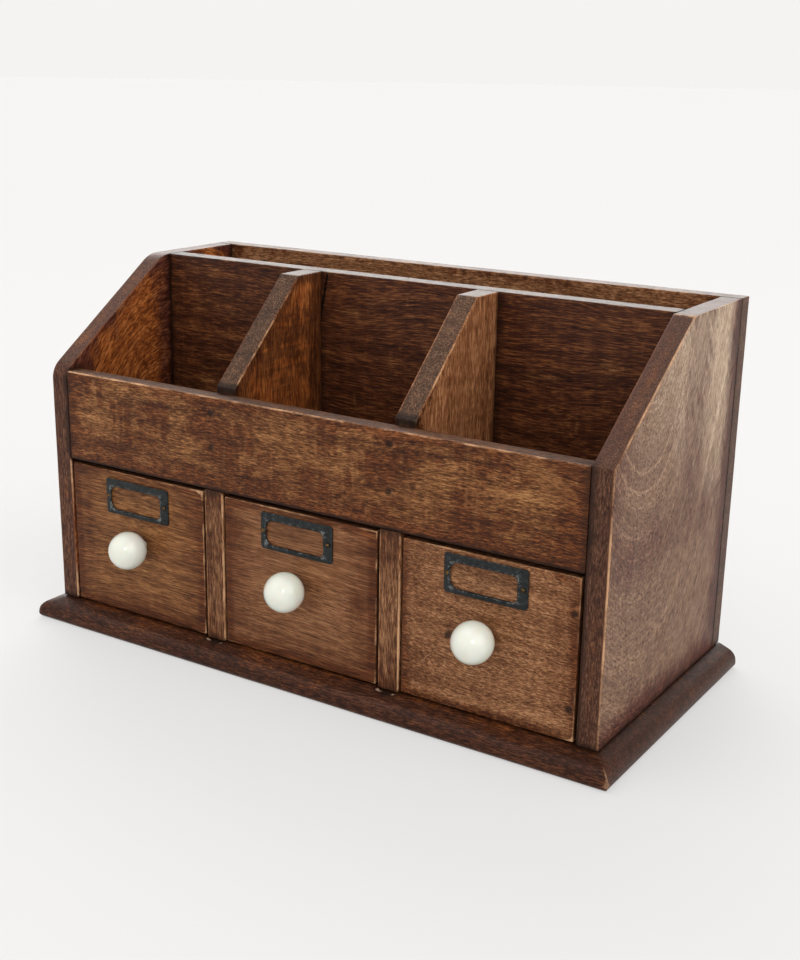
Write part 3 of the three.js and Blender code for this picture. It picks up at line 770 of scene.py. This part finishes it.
def base_board():
    """Rings run down the moulding between a grid on top and a grid underneath."""
    low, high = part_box("base_board")
    corners = moulding_profile()
    profile = divided(softened([Vector((0.5, high.z)), *corners, Vector((0.5, low.z))], 1.4 * MM), 1.3 * MM)
    profile = [point for point in profile if point.x <= corners[0].x + 1.3 * MM]
    columns, rows = 76, 36
    bm = bmesh.new()

    def back_inset(z):
        depth = min(z - low.z, high.z - z, ROUNDING)
        return ROUNDING - math.sqrt(ROUNDING**2 - (ROUNDING - depth) ** 2)

    def level(point, whole):
        inward, z = point
        x0, x1 = low.x + inward, high.x - inward
        y0, y1 = low.y + inward, high.y - back_inset(z)
        made = {}
        for i in range(columns + 1):
            for j in range(rows + 1):
                if whole or i in (0, columns) or j in (0, rows):
                    place = (x0 + (x1 - x0) * i / columns, y0 + (y1 - y0) * j / rows, z)
                    made[i, j] = bm.verts.new(place)
        return made

    last = len(profile) - 1
    levels = [level(point, index in (0, last)) for index, point in enumerate(profile)]
    for grid in (levels[0], levels[-1]):
        for i in range(columns):
            for j in range(rows):
                bm.faces.new((grid[i, j], grid[i + 1, j], grid[i + 1, j + 1], grid[i, j + 1]))
    rim = [(i, 0) for i in range(columns)] + [(columns, j) for j in range(rows)]
    rim += [(columns - i, rows) for i in range(columns)] + [(0, rows - j) for j in range(rows)]
    for upper, lower in zip(levels, levels[1:]):
        for first, second in zip(rim, rim[1:] + rim[:1]):
            bm.faces.new((upper[first], upper[second], lower[second], lower[first]))
    bmesh.ops.recalc_face_normals(bm, faces=bm.faces)

    nose = min(corners, key=lambda point: point.x)

    def ridge_distance(point):
        """From the nose all round, or from a mitre at a front corner."""
        aside = min(point.x - low.x, high.x - point.x)
        ahead = point.y - low.y
        mitre = abs(aside - ahead) if max(aside, ahead) < corners[0].x else 1.0
        return min((Vector((min(aside, ahead), point.z)) - nose).length + 1.2 * MM, mitre)

    right_mitre = (Vector((high.x, low.y, low.z)), Vector((high.x, low.y, 0.6 * high.z)))
    neighbours = [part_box(node) for node in boards_of("carcass") if node != "base_board"]
    feet = [corner(f"drawer_partition_{side}", 0.5, 0, 0) for side in ("left", "right")]
    stains = [dab(foot, 7) for foot in feet]
    weather(bm, ridge_distance, 11, neighbours, stains=stains, rubs=[(*right_mitre, 6 * MM, 0.25)])
    marks = [
        (foot + Vector(start) * MM, foot + Vector(end) * MM, width, OLD_GLUE)
        for foot in feet
        for start, end, width in GLUE_CRUMBS
    ]
    material = wood("base_board_wood", BASE, "X", "Z", 11, (low.z / MM, high.z / MM), marks)
    return finish_piece("base_board_worn", bm, material, "carcass", ["base_board"])


base_board()

# ------------------------------------------------------------------ knobs, pins and screws


def turned(name, profile, centre, axis, steps, material, body, node):
    """A turned piece. The profile is (radius, place along the axis), both ends at radius 0."""
    bm = bmesh.new()
    first, second = [index for index in range(3) if index != axis]
    rings = []
    for radius, along in profile:
        ring = []
        for step in range(steps if radius > 0 else 1):
            turn = 2 * math.pi * step / steps
            place = Vector(centre)
            place[axis] = along
            place[first] += radius * math.cos(turn)
            place[second] += radius * math.sin(turn)
            ring.append(bm.verts.new(place))
        rings.append(ring)
    for ring, following in zip(rings, rings[1:]):
        for step in range(steps):
            after = (step + 1) % steps
            corners = [ring[step % len(ring)], ring[after % len(ring)]]
            corners += [following[after % len(following)], following[step % len(following)]]
            bm.faces.new(list(dict.fromkeys(corners)))
    bmesh.ops.recalc_face_normals(bm, faces=bm.faces)
    return finish_piece(name, bm, material, body, [node])


def glazed_ceramic():
    """Cream glaze: a little warmer where it pools, with a faint orange-peel surface."""
    material, g = new_material("cream_glaze")
    place = g.millimetres()
    tint = g.noise(g.vector("MULTIPLY", place, (0.12, 0.12, 0.12)), 3)
    colour = g.ramp(tint, [(0.3, rgb(209, 211, 199)), (0.7, rgb(216, 218, 207))])
    speck = g.span(g.noise(g.vector("MULTIPLY", place, (1.1, 1.1, 1.1)), 2), 0.72, 0.8)
    colour = g.mix(g.times(speck, 0.35), colour, rgb(196, 178, 142))
    peel = g.noise(g.vector("MULTIPLY", place, (0.5, 0.5, 0.5)), 2)
    rough = g.plus(0.1, g.swing(tint, 0.06))
    principled(
        g, colour, rough, Normal=g.bump(peel, 0.12, 0.3), Coat_Weight=0.6, Coat_Roughness=0.04,
        Subsurface_Weight=0.3, Subsurface_Scale=0.002,
    )
    return material


def old_metal(name, dark, light, wear, metallic, roughness):
    """Cast or drawn metal with a patchy dark skin that is rubbed off its high places."""
    material, g = new_material(name)
    place = g.millimetres()
    cloud = g.noise(g.vector("MULTIPLY", place, (0.35, 0.35, 0.35)), 4, 0.6)
    grit = g.noise(g.vector("MULTIPLY", place, (1.5, 1.5, 1.5)), 3, 0.65)
    colour = g.mix(g.span(g.plus(cloud, g.swing(grit, 1.2)), 0.35, 0.65), dark, light)
    high = g.plus(g.attribute("rub"), g.swing(cloud, 2.2), g.swing(grit, 2.6))
    bare = g.span(high, 0.5, 1.1, 0.0, wear)
    colour = g.mix(bare, colour, rgb(158, 162, 162))
    rough = g.plus(roughness, g.swing(grit, 0.25), g.times(bare, -0.12))
    height = g.plus(g.times(grit, 0.6), g.times(cloud, 0.4))
    principled(g, colour, rough, Normal=g.bump(height, 0.7, 0.35), Metallic=metallic)
    return material


CERAMIC = glazed_ceramic()
BLACKENED = old_metal("blackened_metal", rgb(11, 13, 14), rgb(35, 39, 40), 0.36, 0.5, 0.5)
BRASS = old_metal("aged_brass", rgb(48, 38, 24), rgb(116, 88, 48), 0.25, 0.9, 0.45)
STEEL = old_metal("dull_steel", rgb(84, 80, 76), rgb(140, 136, 130), 0.4, 0.95, 0.42)


COLLAR = 0.26  # radius of a knob's collar, in knob radii
FLARE = 0.08  # of the collar where it meets the wood, in knob radii
PIN_DOME = 0.7 * MM  # height of a pin's head
SCREW_SHANK = 1.8 * MM  # radius of a knob screw
DOME_TURNS = (0, 0.4, 0.8, 1.2)  # from the top of a domed head outwards, in radians


def knob(body):
    """A ball that runs into a short collar against the drawer front."""
    node = f"{body}_knob"
    low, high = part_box(node)
    radius = (high.x - low.x) / 2
    middle = low.y + radius
    collar = COLLAR * radius
    neck = math.asin(collar / radius)
    steps = 22
    profile = []
    for step in range(steps + 1):
        turn = (math.pi - neck) * step / steps
        profile.append((radius * math.sin(turn), middle - radius * math.cos(turn)))
    flare = FLARE * radius
    profile += [(collar, high.y - flare), (collar + 0.4 * flare, high.y), (0.0, high.y)]
    turned(f"{node}_glazed", profile, centre_of(node), 1, 48, CERAMIC, body, node)


def pin(body, side):
    """A domed brass pin whose shank goes through the label frame into the wood."""
    node = f"{body}_label_pin_{side}"
    low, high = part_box(node)
    head = (high.x - low.x) / 2
    seat = low.y + PIN_DOME
    turns = (*DOME_TURNS, math.pi / 2)
    dome = [(head * math.sin(turn), seat - PIN_DOME * math.cos(turn)) for turn in turns]
    profile = [*dome, (head * 0.5, seat), (head * 0.5, high.y - head), (0.0, high.y)]
    turned(f"{node}_domed", profile, centre_of(node), 1, 20, BRASS, body, node)


def carve(piece, cutter_bm):
    """Takes a cutter out of a piece, for good."""
    cutter = new_object("cutter", cutter_bm, piece.data.materials[0])
    modifier = piece.modifiers.new("carve", "BOOLEAN")
    modifier.operation = "DIFFERENCE"
    modifier.solver = "EXACT"
    modifier.object = cutter
    bpy.context.view_layer.update()
    shaped = bpy.data.meshes.new_from_object(piece.evaluated_get(bpy.context.evaluated_depsgraph_get()))
    piece.modifiers.clear()
    piece.data = shaped
    bpy.data.objects.remove(cutter)


def slot_cutter(centre, axis, length, width, depth):
    """A bar lying across a screw's head, turned a little."""
    bm = bmesh.new()
    bmesh.ops.create_cube(bm, size=1.0)
    size = Vector((length, width, depth)) if axis == 2 else Vector((length, depth, width))
    spin = Matrix.Rotation(0.4, 4, AXES[axis])
    placed = Matrix.Translation(centre) @ spin @ Matrix.Diagonal((*size, 1))
    bmesh.ops.transform(bm, matrix=placed, verts=bm.verts)
    return bm


def knob_screw(body):
    """A round-headed screw that holds a knob from inside the drawer."""
    node = f"{body}_knob_screw"
    low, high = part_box(node)
    head = (high.x - low.x) / 2
    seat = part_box(f"{body}_front")[1].y
    height = high.y - seat
    turns = (1.57, *reversed(DOME_TURNS))
    dome = [(head * math.sin(turn), seat + height * math.cos(turn)) for turn in turns]
    rim = seat + 0.1 * MM
    profile = [(0.0, low.y), (SCREW_SHANK, low.y + SCREW_SHANK), (SCREW_SHANK, rim), (head, rim), *dome]
    profile[-1] = (0.0, high.y)
    centre = centre_of(node)
    piece = turned(f"{node}_slotted", profile, centre, 1, 28, STEEL, body, node)
    place = Vector((centre.x, high.y, centre.z))
    carve(piece, slot_cutter(place, 1, 4 * head, 1.0 * MM, 1.6 * MM))


# ------------------------------------------------------------------ label frames

WINDOW_CORNERS = (3.0 * MM, 3.0 * MM, 4.6 * MM, 5.2 * MM)  # from the lower right, anticlockwise
FLANGE = 0.95 * MM  # thickness of the flat ends, which are thinner than the holder between them
CARD_OVERLAP = 1.5 * MM  # how far the card pocket reaches past the window on either side
CARD_REST = 2.6 * MM  # the pocket starts this far above the frame's lower edge
CARD_POCKET = 0.6 * MM  # its depth


def rounded_loop(low, high, radii, arc, wide, tall):
    """Points round a rounded rectangle from its lower right corner, anticlockwise, evenly matched."""
    places = ((high.x, low.y), (high.x, high.y), (low.x, high.y), (low.x, low.y))
    corners = [Vector(place) for place in places]
    inward = [Vector((-1, 1)), Vector((-1, -1)), Vector((1, -1)), Vector((1, 1))]
    arcs = []
    for index, (corner, way, radius) in enumerate(zip(corners, inward, radii)):
        middle = corner + way * radius
        start = (index - 1) * math.pi / 2
        turns = [start + math.pi / 2 * step / arc for step in range(arc + 1)]
        arcs.append([middle + radius * Vector((math.cos(turn), math.sin(turn))) for turn in turns])
    points = []
    for index, curve in enumerate(arcs):
        following = arcs[(index + 1) % 4][0]
        between = tall if index % 2 == 0 else wide
        points += curve
        points += [curve[-1].lerp(following, step / between) for step in range(1, between)]
    return points


def window_of(node):
    """The window in a label frame: lowest and highest (x, z) of the points well inside its outline."""
    low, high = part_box(node)
    middle, half = (low + high) / 2, (high - low) / 2
    inside = [
        v.co
        for v in frame["nodes"][node].data.vertices
        if abs(v.co.x - middle.x) < half.x - 3.7 * MM and abs(v.co.z - middle.z) < half.z - 2 * MM
    ]
    xs, zs = [point.x for point in inside], [point.z for point in inside]
    return Vector((min(xs), min(zs))), Vector((max(xs), max(zs)))


def label_frame(body, seed):
    """A pressed plate: a raised card holder round a window, between two flat ends."""
    node = f"{body}_label_frame"
    low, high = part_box(node)
    window_low, window_high = window_of(node)
    window_middle, window_half = (window_low + window_high) / 2, (window_high - window_low) / 2
    outer_low, outer_high = Vector((low.x, low.z)), Vector((high.x, high.z))
    outer = rounded_loop(outer_low, outer_high, [1.8 * MM] * 4, 6, 40, 16)
    inner = rounded_loop(window_low, window_high, WINDOW_CORNERS, 6, 40, 16)
    across = [0.0, 0.04, 0.12, 0.22, 0.34, 0.46, 0.58, 0.7, 0.8, 0.88, 0.95, 1.0]
    thickness = high.y - low.y

    def smooth(value):
        value = min(1.0, max(0.0, value))
        return value * value * (3 - 2 * value)

    def rise(point, part):
        """Height of the front at a place, and how exposed it is."""
        aside = abs(point.x - window_middle.x) - window_half.x
        holder = 1 - smooth((aside - 2.2 * MM) / (1.1 * MM))
        height = FLANGE + (thickness - FLANGE) * (0.55 * holder)
        lip = math.exp(-(((part - 0.82) / 0.13) ** 2))
        above = abs(point.y - window_middle.y) - window_half.y
        near_corner = math.exp(-(((abs(aside) + abs(above)) / (2.6 * MM)) ** 2))
        height += (thickness - FLANGE) * holder * (0.3 * lip + 0.25 * near_corner)
        edge = min(part, 1 - part)
        height -= 0.35 * MM * (1 - smooth(edge / 0.1))
        rough = noise.noise(Vector((point.x, point.y, seed)) / MM * 0.6)
        worn = 0.55 * lip + 0.5 * near_corner + 0.4 * holder * smooth(1 - edge / 0.1)
        return height + 0.07 * MM * rough, min(1.0, worn)

    bm = bmesh.new()
    rub = bm.verts.layers.float.new("rub")
    front, back = [], []
    for part in across:
        front_ring, back_ring = [], []
        for start, end in zip(outer, inner):
            point = start.lerp(end, part)
            height, worn = rise(point, part)
            vert = bm.verts.new((point.x, high.y - height, point.y))
            vert[rub] = worn
            front_ring.append(vert)
            over_card = abs(point.x - window_middle.x) < window_half.x + CARD_OVERLAP
            pocket = over_card and point.y > low.z + CARD_REST
            sunk = min(CARD_POCKET, height - 0.3 * MM) if pocket else 0.0
            back_ring.append(bm.verts.new((point.x, high.y - sunk, point.y)))
        front.append(front_ring)
        back.append(back_ring)
    count = len(outer)
    strips = front + back[::-1] + front[:1]
    for ring, following in zip(strips, strips[1:]):
        for index in range(count):
            after = (index + 1) % count
            bm.faces.new((ring[index], ring[after], following[after], following[index]))
    bmesh.ops.recalc_face_normals(bm, faces=bm.faces)
    finish_piece(f"{node}_pressed", bm, BLACKENED, body, [node])


for bay_index, bay in enumerate(BAYS):
    body = f"drawer_{bay}"
    knob(body)
    knob_screw(body)
    label_frame(body, bay_index * 50.0)
    pin(body, "left")
    pin(body, "right")

# the nails are sunk in the wood and keep their CAD shape
for node in [node for body in BODIES for node in BODIES[body] if "nail" in node or "base_screw" in node]:
    for material_slot in frame["nodes"][node].material_slots:
        material_slot.material = STEEL

# ------------------------------------------------------------------ stage and camera


def floor():
    """Pale acrylic, lit a little from below round the middle, so that shadows on it stay faint."""
    bm = bmesh.new()
    bmesh.ops.create_circle(bm, cap_ends=True, segments=96, radius=20.0)
    material, g = new_material("floor_acrylic")
    reach = g.vector("LENGTH", g.add("ShaderNodeTexCoord", output=3), (0, 0, 0), 1)
    glow = g.span(reach, 0.2, 2.5, 0.49, 0.467)
    sheet = {"Specular_IOR_Level": 0.0, "Emission_Color": rgb(245, 245, 244), "Emission_Strength": glow}
    principled(g, rgb(150, 149, 149), 0.9, **sheet)
    paper = new_object("floor", bm, material)
    paper.location.z = cad_bounds[0].z - 0.2 * MM


# soft lights in the white room: direction towards each, how wide it is as cosines, and brightness
SOFTBOXES = (
    ((-0.50, 0.78, 0.42), 0.80, 0.97, 4.2),  # behind, low: it shines on the flat tops
    ((-0.45, -0.20, 0.87), 0.75, 0.97, 0.9),  # overhead: it shines on the slopes
    ((-0.10, -0.75, 0.65), 0.60, 0.95, 0.4),  # in front
    ((0.45, -0.78, 0.50), 0.985, 0.995, 6.0),  # a small one, for the glint on the knobs
    ((0.85, -0.20, 0.50), 0.65, 0.97, 1.5),  # to the right: it reaches into the compartments
)
ROOM = 0.905  # brightness of the room at eye level, the same as the floor's


def studio_light():
    """A white room with soft lights in it, all far away, so that the floor is lit evenly."""
    world = bpy.data.worlds.new("white_room")
    world.use_nodes = True
    g = Graph(world.node_tree)
    way = g.add("ShaderNodeTexCoord", output=0)
    height = g.add("ShaderNodeSeparateXYZ", {0: way}, 2)
    light = g.span(height, 0.08, 0.7, ROOM, 0.62)
    for direction, outer, inner, power in SOFTBOXES:
        facing = g.vector("DOT_PRODUCT", way, Vector(direction).normalized(), 1)
        box = g.times(g.span(facing, outer, inner, 0.0, power), g.span(height, 0.04, 0.25))
        light = g.plus(light, box)
    sky = g.add("ShaderNodeBackground", {"Color": rgb(255, 254, 252), "Strength": light})
    g.add("ShaderNodeOutputWorld", {"Surface": sky})
    bpy.context.scene.world = world


VIEW_PLACE = Vector((0.4233, -0.5617, 0.3200))  # from the foot of the cabinet's face, in its middle
VIEW_TURN = (-0.569, 0.295, 0.017)  # yaw, pitch and roll, in radians
LENS = 52.09  # in mm, on a sensor this wide
SENSOR = 36


def camera():
    """Right of the middle, in front of the cabinet's face and above the base board."""
    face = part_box("side_panel_left")[0].y
    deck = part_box("base_board")[1].z
    place = Vector((0, face, deck)) + VIEW_PLACE
    yaw, pitch, roll = VIEW_TURN
    ahead = Vector((math.sin(yaw) * math.cos(pitch), math.cos(yaw) * math.cos(pitch), -math.sin(pitch)))
    level = Vector((math.cos(yaw), -math.sin(yaw), 0))
    upright = level.cross(ahead)
    right = math.cos(roll) * level + math.sin(roll) * upright
    up = math.cos(roll) * upright - math.sin(roll) * level
    data = bpy.data.cameras.new("camera")
    data.lens = LENS
    data.sensor_width = SENSOR
    data.clip_start = 0.01
    data.clip_end = 100
    made = bpy.data.objects.new("camera", data)
    turn = Matrix((right, up, -ahead)).transposed().to_4x4()
    made.matrix_world = Matrix.Translation(place) @ turn
    bpy.context.collection.objects.link(made)
    bpy.context.scene.camera = made


floor()
studio_light()
camera()
bpy.context.scene.view_settings.view_transform = "Standard"
